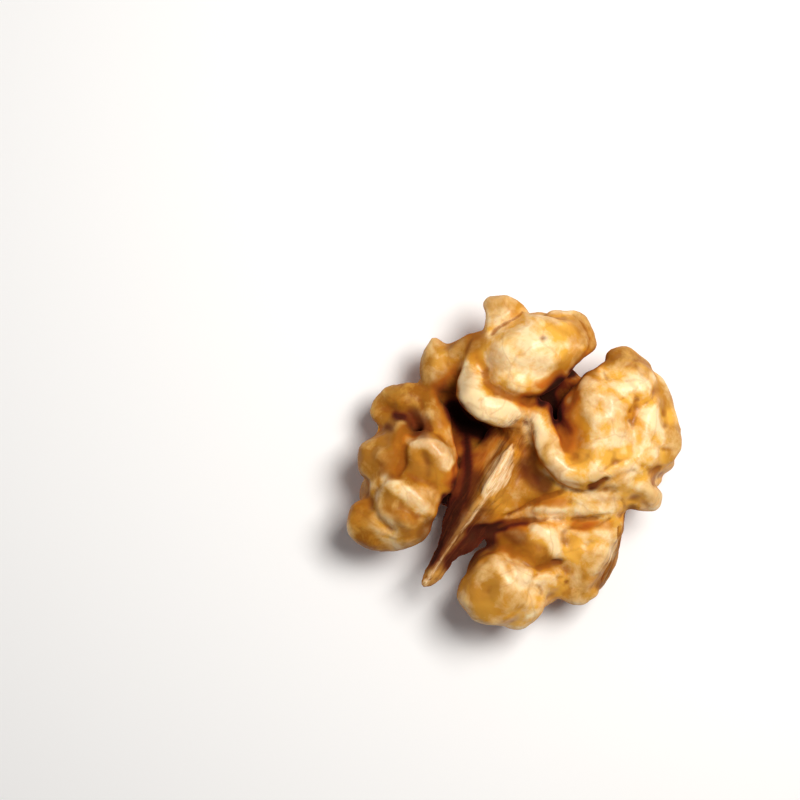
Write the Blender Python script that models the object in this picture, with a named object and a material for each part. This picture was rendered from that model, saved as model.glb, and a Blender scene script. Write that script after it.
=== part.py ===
"""A shelled walnut kernel half, lying on its rounded back with its inner face up.

The kernel is one grown piece. Its lobes and folds are strings of balls along smooth centre lines, fused into
one skin, which then gets its creases and its uneven growth.
Lengths are in millimetres up to the last step, which makes them metres. The folds are placed as seen from
above, with +X to the right and +Y away, and the whole is then turned so that the germ point heads along -Y.
"""

import math

import bmesh
import bpy
import numpy as np

MM = 0.001
BALL_SPACING = 0.22  # distance between the balls of a fold, as a share of their radius
SKIN_GRAIN = 0.3  # size of the net that fuses the folds, mm
SPIKE_TURN = math.radians(36.4)  # brings the germ point round to -Y
FOOT_DEPTH = 0.5  # how much of the lowest bumps is worn flat where the kernel rests, mm
TRIANGLES = 10000

# Each fold is a list of (x, y, z, radius), mm.
BODY = {
    "middle": [(0.0, -1.0, 5.2, 3.2), (4.0, -1.5, 5.4, 4.0), (9.0, 0.0, 5.7, 4.4), (11.5, 1.0, 5.7, 4.2)],
    "left_strip": [
        (-4.0, 9.0, 5.6, 2.8), (-7.0, 7.0, 4.8, 3.0), (-9.0, 4.0, 4.6, 3.2), (-10.6, 0.0, 5.2, 3.8),
        (-11.6, -3.6, 6.4, 3.8),
    ],
    "upper": [(-2.0, 10.4, 6.2, 3.4), (1.5, 11.0, 6.0, 4.2), (4.0, 12.2, 7.2, 3.1)],
    "bridge": [(-8.0, 4.0, 4.2, 2.8), (-4.0, 3.0, 3.8, 2.6), (0.0, 2.0, 4.0, 3.0), (3.0, 0.0, 4.4, 3.2)],
    "valley": [(-4.6, 1.6, 4.6, 2.8), (-6.0, -0.6, 4.8, 2.6), (-6.4, -2.8, 5.6, 2.0)],
    "notch_floor": [(2.0, 7.0, 4.4, 2.8), (4.8, 6.3, 4.2, 2.7), (5.3, 7.6, 4.0, 2.2)],
    "right": [(5.0, 3.0, 4.8, 3.2), (9.9, 5.4, 5.7, 4.0), (12.0, 5.0, 6.0, 4.0), (13.0, 0.5, 6.2, 3.6)],
    "lower": [
        (6.0, -4.0, 5.4, 4.0), (4.4, -8.0, 5.6, 4.2), (1.2, -11.0, 6.4, 4.0), (-1.5, -12.4, 7.4, 3.6),
    ],
    "lower_right": [(9.5, -4.3, 5.4, 2.6), (7.8, -8.5, 5.8, 3.0)],
}
UPPER_LOBE = {
    "fist": [
        (-1.2, 10.8, 11.0, 2.4), (1.0, 11.2, 11.6, 2.9), (3.6, 11.6, 11.4, 2.7), (5.6, 12.0, 10.8, 1.8),
        (6.4, 12.0, 10.4, 1.3),
    ],
    "fist_low": [
        (-1.4, 9.0, 11.4, 1.7), (0.6, 8.6, 11.8, 1.9), (2.4, 8.9, 11.6, 1.9), (4.0, 10.0, 11.2, 1.7),
    ],
    "fist_top": [(1.6, 13.3, 11.0, 1.7), (3.4, 13.2, 11.2, 1.8), (5.2, 12.9, 10.8, 1.6)],
    "nub": [(-2.0, 16.0, 10.2, 1.2), (-0.9, 16.2, 10.6, 1.1), (0.2, 15.7, 10.5, 1.0)],
    "nub_low": [
        (-1.9, 13.2, 10.3, 1.2), (-1.6, 14.3, 10.4, 1.4), (-0.8, 14.7, 10.8, 1.5), (0.4, 14.9, 10.7, 1.2),
    ],
    "shoulder": [
        (4.2, 14.6, 9.2, 1.2), (5.8, 14.4, 9.6, 1.3), (7.0, 13.3, 9.7, 1.2), (7.2, 12.2, 9.7, 1.0),
    ],
    "roll": [
        (-2.7, 12.1, 10.2, 1.1), (-3.4, 10.9, 10.4, 1.2), (-3.9, 9.6, 10.8, 1.3), (-4.0, 8.2, 11.2, 1.4),
        (-3.8, 6.9, 11.6, 1.6), (-2.8, 5.7, 11.8, 1.6),
        (-1.4, 5.3, 11.7, 1.5), (-0.2, 5.3, 11.3, 1.4), (0.8, 5.6, 10.7, 1.1),
    ],
    "groove": [
        (-2.6, 9.2, 10.2, 1.7), (-2.2, 7.6, 10.4, 1.8), (-0.8, 7.0, 10.3, 1.8), (0.8, 6.8, 9.9, 1.5),
        (1.6, 6.9, 9.2, 1.2),
    ],
    "web": [(0.9, 5.4, 9.6, 1.3), (2.0, 5.4, 10.0, 1.1), (3.0, 5.5, 10.4, 0.8)],
    "under_web": [(0.4, 4.3, 9.2, 1.6), (1.6, 4.2, 9.8, 1.5), (1.9, 3.0, 9.6, 1.4)],
}
LEFT_ARM = {
    "point": [
        (-7.9, 12.9, 7.4, 0.45), (-7.7, 11.8, 7.6, 0.95), (-7.4, 10.4, 7.8, 1.45), (-7.4, 8.8, 7.8, 1.8),
    ],
    "saddle": [
        (-6.5, 11.2, 7.3, 0.9), (-5.3, 11.5, 8.0, 1.0), (-4.2, 12.0, 8.8, 1.1), (-3.2, 12.4, 9.4, 1.0),
    ],
    "web": [(-5.8, 9.8, 7.8, 1.6), (-4.6, 10.8, 8.8, 1.5), (-4.6, 9.0, 8.2, 1.4)],
    "base": [(-6.0, 8.8, 7.0, 1.8), (-5.7, 7.6, 6.4, 1.6)],
    "olive": [(-11.9, 6.9, 7.0, 1.3), (-10.6, 6.8, 7.6, 1.5), (-9.6, 6.6, 7.6, 1.3)],
    "rim": [(-13.1, 6.0, 6.6, 0.9), (-13.3, 4.8, 6.8, 1.0), (-12.6, 4.0, 7.6, 1.2), (-11.2, 3.9, 8.2, 1.0)],
    "pit_floor": [(-12.2, 5.0, 5.8, 1.5), (-10.0, 4.9, 6.6, 1.6), (-9.2, 4.2, 7.0, 1.6)],
    "ridge": [
        (-8.6, 6.8, 8.0, 1.2), (-8.0, 5.4, 8.7, 1.5), (-7.5, 4.0, 9.0, 1.6), (-7.1, 2.6, 9.3, 1.5),
        (-6.7, 1.2, 9.4, 1.3), (-6.6, -0.2, 9.3, 1.2),
    ],
}
LEFT_LOBE = {
    "crescent": [
        (-10.2, 1.9, 10.2, 1.2), (-9.2, 2.1, 10.6, 1.3), (-7.9, 1.7, 11.0, 1.5), (-7.2, 0.8, 11.1, 1.5),
        (-7.1, -0.4, 10.7, 1.4), (-7.2, -1.5, 10.1, 1.3), (-7.3, -2.3, 9.5, 1.1),
    ],
    "disc": [(-9.6, 0.8, 10.4, 1.6), (-9.0, -0.4, 10.3, 1.8), (-8.4, -1.2, 10.0, 1.5)],
    "side": [
        (-11.4, 3.2, 9.2, 1.3), (-12.8, 2.6, 8.8, 1.4), (-13.8, 1.4, 8.8, 1.6), (-14.0, 0.0, 8.8, 1.5),
    ],
    "side_top": [(-12.6, 0.8, 9.6, 1.9), (-11.4, 1.4, 9.8, 1.6), (-12.6, -0.8, 9.2, 1.8)],
    "bulge": [
        (-13.2, -2.6, 9.8, 1.3), (-12.2, -2.0, 10.8, 1.5), (-10.9, -2.4, 11.3, 1.6),
        (-9.7, -3.2, 11.4, 1.6), (-8.9, -4.3, 11.0, 1.4),
    ],
    "bulge_side": [(-10.2, -1.9, 10.6, 1.3), (-9.0, -2.2, 10.5, 1.4), (-8.3, -3.2, 10.2, 1.3)],
    "foot": [(-11.9, -3.9, 10.3, 2.1), (-10.8, -4.4, 10.4, 2.3), (-9.7, -4.3, 10.2, 2.0)],
    "foot_low": [(-13.0, -5.6, 8.9, 2.2), (-11.8, -6.4, 9.0, 2.4), (-10.4, -6.0, 9.1, 2.4)],
    "nub": [
        (-15.2, -4.6, 8.8, 1.3), (-15.3, -5.6, 8.8, 1.4), (-14.3, -6.5, 8.8, 1.7), (-12.8, -7.1, 8.8, 1.7),
        (-11.4, -7.3, 8.8, 1.5),
    ],
}
RIGHT_LOBE = {
    "hook": [
        (2.4, 5.2, 11.1, 0.9), (2.7, 4.3, 11.4, 1.2), (3.2, 3.0, 11.8, 1.35), (3.8, 1.7, 12.0, 1.4),
        (4.5, 0.5, 12.2, 1.5), (5.4, -0.5, 12.3, 1.6), (6.8, -0.7, 12.3, 1.7), (8.4, 0.2, 12.2, 1.9),
    ],
    "hook_wall": [(2.5, 4.2, 9.0, 1.2), (2.8, 2.2, 9.2, 1.5), (3.8, 0.0, 9.6, 1.7), (5.6, -0.9, 9.8, 1.9)],
    "slope": [(0.6, 3.4, 8.4, 1.6), (1.0, 1.8, 8.6, 1.8), (1.8, 0.2, 8.4, 1.7), (2.4, -1.2, 8.2, 1.7)],
    "inner_wall": [
        (7.0, 6.5, 10.2, 1.8), (6.7, 5.0, 10.8, 2.0), (6.7, 3.2, 11.0, 1.9), (6.7, 1.6, 11.4, 1.7),
    ],
    "big": [
        (8.0, 8.0, 10.8, 1.5), (8.4, 6.9, 11.4, 2.1), (8.7, 5.6, 11.8, 2.5), (8.8, 4.2, 11.8, 2.6),
        (8.7, 2.8, 11.8, 2.6), (8.2, 1.4, 11.8, 2.3),
    ],
    "big_right": [
        (9.8, 6.0, 11.6, 1.8), (10.0, 4.2, 11.7, 1.7), (10.0, 2.4, 11.8, 1.8), (10.6, 0.6, 11.4, 1.9),
        (10.2, -0.8, 10.8, 1.8),
    ],
    "cap": [(10.3, 10.6, 9.6, 0.9), (11.4, 10.7, 9.8, 1.0), (12.6, 10.3, 9.6, 0.9), (13.4, 9.8, 9.4, 0.8)],
    "between": [(11.7, 3.4, 11.1, 1.5), (11.5, 1.6, 11.1, 1.6)],
    "top_fold": [
        (9.6, 8.8, 10.5, 1.5), (11.0, 9.3, 10.9, 1.5), (12.4, 9.3, 10.8, 1.4), (13.2, 8.4, 10.6, 1.2),
    ],
    "top_low": [(10.8, 7.6, 11.2, 1.5), (12.2, 7.8, 11.2, 1.6), (12.6, 6.8, 11.0, 1.3)],
    "edge_inner": [
        (13.4, 5.6, 10.4, 1.7), (13.4, 4.0, 10.8, 2.0), (13.2, 2.2, 10.9, 2.1), (12.6, 0.6, 10.8, 2.1),
    ],
    "edge": [
        (14.1, 8.2, 8.6, 1.1), (14.9, 6.6, 8.9, 1.4), (15.4, 4.6, 9.2, 1.5), (15.5, 2.6, 9.6, 1.5),
        (15.3, 1.0, 9.6, 1.4), (14.4, -0.2, 9.4, 1.5),
    ],
    "tail": [
        (12.4, -1.2, 10.2, 1.7), (13.6, -2.4, 10.0, 1.4), (13.7, -3.6, 9.2, 1.2), (12.6, -3.8, 9.0, 1.1),
        (11.8, -3.0, 9.2, 1.4),
    ],
}
MIDDLE = {
    "plateau": [
        (-0.4, -2.6, 8.4, 1.7), (0.8, -2.4, 8.6, 1.7), (2.4, -2.6, 8.6, 1.8), (4.0, -2.8, 8.8, 1.6),
    ],
    "plateau_low": [(-0.8, -3.9, 8.5, 1.2), (0.8, -4.1, 8.7, 1.2)],
    "plateau_foot": [(-1.4, -5.4, 6.8, 1.6), (0.2, -5.6, 7.2, 1.7), (1.8, -5.4, 7.4, 1.7)],
    "ledge": [
        (3.4, -2.4, 9.2, 1.4), (5.4, -2.4, 10.4, 1.3), (7.0, -2.5, 10.6, 1.2), (9.6, -2.3, 10.6, 1.3),
        (11.2, -2.0, 10.4, 1.4),
    ],
    "bench": [
        (1.6, -4.6, 9.0, 0.9), (3.2, -4.2, 9.4, 1.2), (5.0, -3.9, 9.7, 1.3), (7.0, -3.9, 9.9, 1.4),
        (9.2, -4.0, 9.8, 1.4), (11.0, -3.6, 9.4, 1.3),
    ],
    "bench_low": [
        (5.2, -7.0, 9.0, 1.4), (7.0, -6.9, 9.2, 1.5), (9.0, -6.8, 9.0, 1.6), (10.1, -6.6, 8.4, 1.3),
    ],
    "fill": [(3.0, -5.6, 8.0, 1.7), (5.6, -5.5, 9.0, 1.6), (7.6, -5.5, 9.3, 1.6), (9.8, -5.3, 9.0, 1.5)],
}
LOWER_LOBE = {
    "crest": [(1.6, -5.9, 9.0, 0.9), (2.8, -6.5, 9.7, 1.2), (3.7, -7.5, 10.0, 1.4), (4.1, -8.6, 9.8, 1.4)],
    "slope": [(-1.3, -7.3, 7.6, 1.3), (-0.2, -7.6, 8.3, 1.6), (1.0, -7.8, 8.9, 1.9), (2.4, -8.3, 9.4, 2.0)],
    "ball": [
        (-2.7, -12.4, 9.4, 2.9), (-1.4, -11.2, 10.0, 2.7), (-0.8, -12.6, 9.8, 3.1), (-1.8, -13.8, 9.4, 2.7),
    ],
    "ball_top": [(0.4, -9.8, 9.8, 1.3), (1.4, -10.8, 9.8, 1.3), (1.2, -12.0, 9.8, 1.4)],
    "ball_tail": [
        (1.0, -13.4, 9.4, 2.0), (2.3, -13.6, 9.0, 1.2), (1.2, -15.0, 8.8, 1.6), (0.2, -15.9, 8.4, 1.1),
    ],
    "knot": [(3.2, -11.3, 9.2, 1.4), (4.4, -11.8, 9.0, 1.2), (4.9, -12.5, 8.4, 0.9)],
    "flank": [(6.6, -8.6, 9.0, 1.9), (8.2, -8.8, 8.8, 1.8), (7.3, -10.6, 8.6, 1.8), (6.7, -12.0, 8.0, 1.5)],
    "flank_nub": [(5.8, -12.5, 8.0, 1.2), (7.0, -13.0, 7.8, 1.1), (8.0, -12.7, 7.6, 0.9)],
    "flank_edge": [(9.9, -7.6, 7.8, 1.1), (9.3, -9.4, 7.6, 1.1), (8.5, -11.2, 7.4, 1.1)],
    "strip": [
        (11.3, -5.4, 6.8, 0.7), (10.9, -8.0, 6.4, 0.7), (9.7, -10.6, 6.2, 0.7), (8.7, -12.4, 6.0, 0.7),
    ],
}
GROUPS = (BODY, UPPER_LOBE, LEFT_ARM, LEFT_LOBE, RIGHT_LOBE, MIDDLE, LOWER_LOBE)

# The germ point is a tapering flap with a sharp crest:
# (x, y, crest height, left width, right width, keel height), mm.
GERM = [
    (0.8, 3.4, 10.4, 2.2, 1.2, 5.0),
    (-0.2, 1.8, 11.3, 3.3, 2.2, 5.0),
    (-1.8, -0.9, 11.7, 3.6, 3.6, 5.2),
    (-3.4, -3.5, 11.4, 3.0, 3.6, 5.8),
    (-4.8, -5.3, 10.9, 2.2, 3.2, 6.4),
    (-6.4, -7.9, 10.3, 1.5, 2.4, 7.2),
    (-7.9, -10.4, 9.7, 0.8, 1.3, 8.0),
    (-9.1, -12.3, 9.2, 0.3, 0.4, 8.6),
]

# Creases pressed into the upper side: (depth, half width, [(x, y), ...]), mm.
CREASES = [
    (0.6, 0.4, [(-1.8, 13.3), (-1.0, 14.0), (-0.1, 14.6), (1.0, 15.3)]),
    (0.35, 0.3, [(6.2, 15.0), (7.2, 13.6), (7.4, 12.4), (7.0, 11.4)]),
    (0.5, 0.6, [(-2.7, 9.6), (-2.4, 8.4), (-1.4, 7.4), (0.4, 6.8), (2.2, 6.6)]),
    (0.5, 0.4, [(6.4, 9.0), (6.2, 7.4), (5.4, 6.0)]),
    (0.3, 0.6, [(8.2, 6.1), (8.8, 5.8)]),
    (0.5, 0.4, [(9.0, 9.2), (9.4, 8.0), (10.6, 6.6)]),
    (0.4, 0.4, [(10.4, 9.6), (11.2, 8.2), (12.0, 7.0)]),
    (0.5, 0.3, [(9.6, 9.8), (11.2, 9.9), (12.8, 9.2), (13.6, 8.4)]),
    (1.2, 0.45, [(11.3, 4.6), (11.6, 5.4), (12.5, 6.1), (13.7, 6.9)]),
    (0.25, 0.5, [(11.4, 4.6), (10.9, 3.0), (10.0, 1.2), (9.2, -0.2)]),
    (0.6, 0.6, [(14.7, 5.4), (14.7, 3.8), (14.5, 2.8)]),
    (0.5, 0.5, [(11.6, -0.8), (13.0, -0.6), (14.6, -1.0)]),
    (1.2, 0.45, [(7.5, -2.3), (8.3, -2.2), (9.1, -2.1)]),
    (0.5, 0.4, [(5.0, -2.4), (7.5, -2.6), (9.8, -2.4), (11.4, -2.4)]),
    (0.6, 0.28, [(5.6, -5.6), (7.4, -5.5), (9.8, -5.0), (11.2, -5.0)]),
    (0.6, 0.35, [(-0.8, -5.4), (0.8, -4.9), (2.2, -3.8), (3.6, -3.0), (5.4, -2.5)]),
    (0.9, 0.4, [(-3.2, -6.6), (-1.8, -6.4), (-0.4, -6.0), (1.0, -5.5), (3.0, -5.2), (5.0, -5.4)]),
    (0.35, 0.35, [(-1.2, -9.0), (0.2, -9.3), (1.6, -10.1), (2.6, -10.5), (3.6, -10.0), (4.8, -9.8)]),
    (0.45, 0.35, [(2.6, -10.6), (2.4, -12.0), (3.0, -13.0)]),
    (0.5, 0.3, [(5.4, -9.6), (5.3, -11.0), (5.2, -12.4)]),
    (0.4, 0.3, [(10.4, -6.2), (9.9, -8.6), (8.8, -11.2), (8.4, -12.4)]),
    (0.6, 0.4, [(-9.6, 3.1), (-10.9, 2.5), (-11.1, 1.4), (-10.9, 0.2), (-11.6, -0.8), (-13.2, -1.4)]),
    (0.3, 0.3, [(-11.6, -0.7), (-10.0, -1.3), (-8.3, -1.9), (-7.6, -2.9)]),
    (0.35, 0.6, [(-11.0, -4.2), (-9.6, -4.9)]),
    (0.45, 0.35, [(-13.0, -1.6), (-14.0, -2.7), (-14.1, -4.2), (-13.4, -5.5), (-12.2, -6.5)]),
]

NOISE_SEED = 7
LUMPS = ((4.4, 0.5), (1.9, 0.16))  # wavelength and height of the uneven growth, mm
BACK_WAVE = 4.2  # wavelength of the folds on the rounded back, mm
BACK_DEPTH = 1.8  # depth of the creases between them, mm
BACK_CREASE = 0.13  # width of those creases, as a share of the wavelength
BACK_TOP = 9.5  # they fade out below this height, over BACK_FADE, mm
BACK_FADE = 3.0
BEND_WAVE = 6.0  # the folds of the back wander this way and that, by BEND, mm
BEND = 3.0


def clear_scene():
    for thing in list(bpy.data.objects):
        bpy.data.objects.remove(thing)


def smooth_path(points, spacing):
    """Catmull-Rom curve through the points, sampled about every spacing(radius)."""
    points = np.array(points, float)
    padded = np.vstack([2 * points[0] - points[1], points, 2 * points[-1] - points[-2]])
    samples = []
    for before, start, end, after in zip(padded, padded[1:], padded[2:], padded[3:]):
        length = np.linalg.norm(end[:3] - start[:3])
        count = max(2, int(length / (spacing * min(start[3], end[3]))))
        t = np.linspace(0, 1, count, endpoint=False)[:, None]
        samples.append(
            0.5
            * (
                2 * start
                + (end - before) * t
                + (2 * before - 5 * start + 4 * end - after) * t**2
                + (3 * start - before - 3 * end + after) * t**3
            )
        )
    samples.append(points[-1:])
    return np.vstack(samples)


def unit_ball():
    sphere = bmesh.new()
    bmesh.ops.create_icosphere(sphere, subdivisions=3, radius=1.0)
    corners = np.array([v.co for v in sphere.verts])
    faces = np.array([[v.index for v in f.verts] for f in sphere.faces])
    sphere.free()
    return corners, faces


def ball_strings(groups):
    """One mesh that holds a ball at every step along every fold."""
    corners, faces = unit_ball()
    balls = np.vstack([smooth_path(line, BALL_SPACING) for group in groups for line in group.values()])
    points = balls[:, None, :3] + balls[:, None, 3:] * corners[None]
    shift = np.arange(len(balls))[:, None, None] * len(corners)
    return points.reshape(-1, 3), (faces[None] + shift).reshape(-1, 3)


def germ_flap():
    """The flap's cross-sections, from its root to its tip, joined by quads and closed at both ends."""
    path = np.array([row[:2] for row in GERM])
    along = np.gradient(path, axis=0)
    along /= np.linalg.norm(along, axis=1)[:, None]
    side = np.column_stack([along[:, 1], -along[:, 0]])
    rings = []
    for (x, y, crest, left, right, keel), (sx, sy) in zip(GERM, side):
        waist = (crest + keel) / 2
        upper = (0.35 * left, crest - 0.3 - 0.6 * left)
        across = [(0, crest), upper, (left, waist - 0.4), (0.1 * left, keel)]
        across += [(-0.7 * right, waist - 0.9), (-right, waist), (-0.5 * right, crest - 0.4 * right)]
        rings.append([(x + sx * a, y + sy * a, z) for a, z in across])
    rings = np.array(rings)
    count, around = rings.shape[:2]
    index = np.arange(count * around).reshape(count, around)
    turned = np.roll(index, -1, axis=1)
    quads = np.stack([index[:-1], turned[:-1], turned[1:], index[1:]], axis=-1).reshape(-1, 4)
    return rings.reshape(-1, 3), quads, [index[0][::-1], index[-1]]


def mesh_object(name, points, faces):
    mesh = bpy.data.meshes.new(name)
    mesh.from_pydata([tuple(p) for p in points], [], [tuple(int(i) for i in f) for f in faces])
    thing = bpy.data.objects.new(name, mesh)
    bpy.context.scene.collection.objects.link(thing)
    return thing


def applied(thing):
    """Replaces the object's mesh with its modified one."""
    graph = bpy.context.evaluated_depsgraph_get()
    mesh = bpy.data.meshes.new_from_object(thing.evaluated_get(graph))
    thing.modifiers.clear()
    old = thing.data
    thing.data = mesh
    bpy.data.meshes.remove(old)


def gradient_noise(points, seed):
    """Perlin noise: random gradients on a unit lattice, blended by a fifth-degree fade."""
    rng = np.random.default_rng(seed)
    order = rng.permutation(256)
    gradients = rng.normal(size=(256, 3))
    gradients /= np.linalg.norm(gradients, axis=1)[:, None]
    cell = np.floor(points).astype(int)
    inside = points - cell
    fade = inside**3 * (inside * (inside * 6 - 15) + 10)
    total = np.zeros(len(points))
    for corner in np.ndindex(2, 2, 2):
        x, y, z = ((cell + corner) % 256).T
        slope = gradients[order[(order[(order[x] + y) % 256] + z) % 256]]
        weight = np.prod(np.where(corner, fade, 1 - fade), axis=1)
        total += weight * np.einsum("ij,ij->i", slope, inside - corner)
    return total


def vertex_arrays(thing):
    count = len(thing.data.vertices)
    points, normals = np.empty(count * 3), np.empty(count * 3)
    thing.data.vertices.foreach_get("co", points)
    thing.data.vertices.foreach_get("normal", normals)
    return points.reshape(-1, 3), normals.reshape(-1, 3)


def line_distance(points, line):
    """Distance of every point to a line of straight pieces, all in the plane."""
    nearest = np.full(len(points), np.inf)
    for start, end in zip(np.array(line), np.array(line)[1:]):
        step = end - start
        share = np.clip((points - start) @ step / (step @ step), 0, 1)
        nearest = np.minimum(nearest, np.linalg.norm(points - start - share[:, None] * step, axis=1))
    return nearest


def press_creases(kernel):
    """Presses each crease into the skin that faces up."""
    points, normals = vertex_arrays(kernel)
    depth = np.zeros(len(points))
    for deep, wide, line in CREASES:
        depth = np.maximum(depth, deep * np.exp(-((line_distance(points[:, :2], line) / wide) ** 2)))
    depth *= np.clip(normals[:, 2] * 2, 0, 1)
    points[:, 2] -= depth
    kernel.data.vertices.foreach_set("co", points.ravel())
    kernel.data.update()


def grow_unevenly(kernel):
    """Moves the skin in and out along its normals: small lumps all over, and creased folds on the back."""
    points, normals = vertex_arrays(kernel)
    height = np.zeros(len(points))
    for k, (wave, size) in enumerate(LUMPS):
        height += 2 * size * gradient_noise(points / wave, NOISE_SEED + k)
    bend = [gradient_noise(points / BEND_WAVE + shift, NOISE_SEED + 5) for shift in (0, 40, 80)]
    wandering = points + BEND * np.stack(bend, axis=1)
    valley = np.exp(-((gradient_noise(wandering / BACK_WAVE, NOISE_SEED + 6) / BACK_CREASE) ** 2))
    faces_down = np.clip(-0.1 - 1.4 * normals[:, 2], 0, 1)
    height -= BACK_DEPTH * valley * faces_down * np.clip((BACK_TOP - points[:, 2]) / BACK_FADE, 0, 1)
    kernel.data.vertices.foreach_set("co", (points + height[:, None] * normals).ravel())
    kernel.data.update()


def fused(kernel, smoothings):
    """Wraps everything in one closed skin, and keeps only its outer sheet."""
    fuse = kernel.modifiers.new("fuse", "REMESH")
    fuse.mode = "VOXEL"
    fuse.voxel_size = SKIN_GRAIN
    soften = kernel.modifiers.new("soften", "SMOOTH")
    soften.factor = 0.5
    soften.iterations = smoothings
    applied(kernel)
    shape = bmesh.new()
    shape.from_mesh(kernel.data)
    sheets = []
    left = set(shape.verts)
    while left:
        sheet, edge = set(), {left.pop()}
        while edge:
            sheet |= edge
            edge = {e.other_vert(v) for v in edge for e in v.link_edges} - sheet
        left -= sheet
        sheets.append(sheet)
    sheets.sort(key=len)
    bmesh.ops.delete(shape, geom=[v for sheet in sheets[:-1] for v in sheet], context="VERTS")
    shape.to_mesh(kernel.data)
    shape.free()


def folded_skin():
    points, faces = ball_strings(GROUPS)
    flap_points, flap_quads, flap_ends = germ_flap()
    shift = len(points)
    all_faces = list(faces) + list(flap_quads + shift) + [end + shift for end in flap_ends]
    kernel = mesh_object("kernel", np.vstack([points, flap_points]), all_faces)
    fused(kernel, 3)
    press_creases(kernel)
    grow_unevenly(kernel)
    fused(kernel, 1)
    return kernel


def flatten_feet(kernel):
    """Cuts the lowest bumps level, so that the kernel rests on small flat spots."""
    lowest = min(v.co.z for v in kernel.data.vertices)
    shape = bmesh.new()
    shape.from_mesh(kernel.data)
    bmesh.ops.translate(shape, verts=shape.verts, vec=(0, 0, -lowest - FOOT_DEPTH))
    whole = shape.verts[:] + shape.edges[:] + shape.faces[:]
    cut = bmesh.ops.bisect_plane(shape, geom=whole, plane_co=(0, 0, 0), plane_no=(0, 0, -1), clear_outer=True)
    rim = [e for e in cut["geom_cut"] if isinstance(e, bmesh.types.BMEdge)]
    bmesh.ops.holes_fill(shape, edges=rim)
    bmesh.ops.triangulate(shape, faces=shape.faces)
    shape.to_mesh(kernel.data)
    shape.free()


def thin_out(kernel, count):
    fewer = kernel.modifiers.new("thin_out", "DECIMATE")
    fewer.ratio = count / sum(len(f.vertices) - 2 for f in kernel.data.polygons)
    fewer.use_collapse_triangulate = True
    applied(kernel)


def to_rest_frame(kernel):
    """Turns the germ point to -Y, sets the origin under the middle of the kernel, and scales to metres."""
    points = np.array([v.co for v in kernel.data.vertices])
    c, s = math.cos(SPIKE_TURN), math.sin(SPIKE_TURN)
    points[:, :2] = points[:, :2] @ np.array([[c, s], [-s, c]])
    centre = (points[:, :2].min(0) + points[:, :2].max(0)) / 2
    points[:, :2] -= centre
    kernel.data.vertices.foreach_set("co", (points * MM).ravel())
    kernel.data.update()


def skin_material():
    skin = bpy.data.materials.new("walnut_skin")
    skin.use_nodes = True
    shader = skin.node_tree.nodes["Principled BSDF"]
    shader.inputs["Base Color"].default_value = (0.50, 0.24, 0.07, 1)
    shader.inputs["Roughness"].default_value = 0.42
    shader.inputs["Metallic"].default_value = 0.0
    return skin


clear_scene()
kernel = folded_skin()
thin_out(kernel, TRIANGLES)
flatten_feet(kernel)
to_rest_frame(kernel)
kernel.data.materials.append(skin_material())
kernel.data.shade_smooth()
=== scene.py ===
"""A shelled walnut kernel half on a white table, seen from straight above."""

import math

import bmesh
import bpy
import numpy as np
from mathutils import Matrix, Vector
from mathutils.bvhtree import BVHTree
from mathutils.kdtree import KDTree


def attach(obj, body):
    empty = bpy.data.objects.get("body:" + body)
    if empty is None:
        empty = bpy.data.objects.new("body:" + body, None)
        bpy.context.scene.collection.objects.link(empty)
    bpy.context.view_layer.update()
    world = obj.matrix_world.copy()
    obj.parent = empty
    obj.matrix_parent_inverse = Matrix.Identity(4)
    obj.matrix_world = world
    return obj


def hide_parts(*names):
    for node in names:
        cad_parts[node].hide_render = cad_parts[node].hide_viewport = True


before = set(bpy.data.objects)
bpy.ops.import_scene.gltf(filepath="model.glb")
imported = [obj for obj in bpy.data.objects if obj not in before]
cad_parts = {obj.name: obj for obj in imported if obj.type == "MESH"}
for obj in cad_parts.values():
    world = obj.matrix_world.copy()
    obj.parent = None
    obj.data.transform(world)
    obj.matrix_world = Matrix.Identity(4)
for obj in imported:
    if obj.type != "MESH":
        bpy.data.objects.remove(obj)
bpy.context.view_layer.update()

# The view
# The kernel is looked at from straight above. Places on it are read as they appear in that view, in
# millimetres from the middle of the kernel, x to the right and y up. TURN and MIDDLE lay them on the model.
MM = 0.001
TURN = math.radians(36.4)
MIDDLE = np.array([-0.033, 0.482])
FRAME_WIDTH = 80.0  # what the picture shows across, mm
FRAME_CENTRE = np.array([-11.3, 6.5])  # the middle of the picture, as seen
CAMERA_DISTANCE = 222.0  # from the camera down to EYE_LEVEL, mm
EYE_LEVEL = 9.0  # height at which the picture's scale is true, mm
SENSOR = 36.0  # width, mm
NEAREST_SEEN = 0.01  # m


def laid(points):
    """From the view's millimetres to the model's: a turn by TURN, then a shift by MIDDLE."""
    c, s = math.cos(TURN), math.sin(TURN)
    return np.asarray(points) @ np.array([[c, s], [-s, c]]) - MIDDLE


def seen(points):
    """From the model's millimetres to the view's, the reverse of laid."""
    c, s = math.cos(TURN), math.sin(TURN)
    return (np.asarray(points) + MIDDLE) @ np.array([[c, -s], [s, c]])


lens = bpy.data.cameras.new("camera")
lens.sensor_width = SENSOR
lens.lens = SENSOR * CAMERA_DISTANCE / FRAME_WIDTH
lens.clip_start = NEAREST_SEEN
camera = bpy.data.objects.new("camera", lens)
camera.location = (*(laid(FRAME_CENTRE) * MM), (CAMERA_DISTANCE + EYE_LEVEL) * MM)
camera.rotation_euler = (0, 0, TURN)
bpy.context.scene.collection.objects.link(camera)
bpy.context.scene.camera = camera

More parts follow.
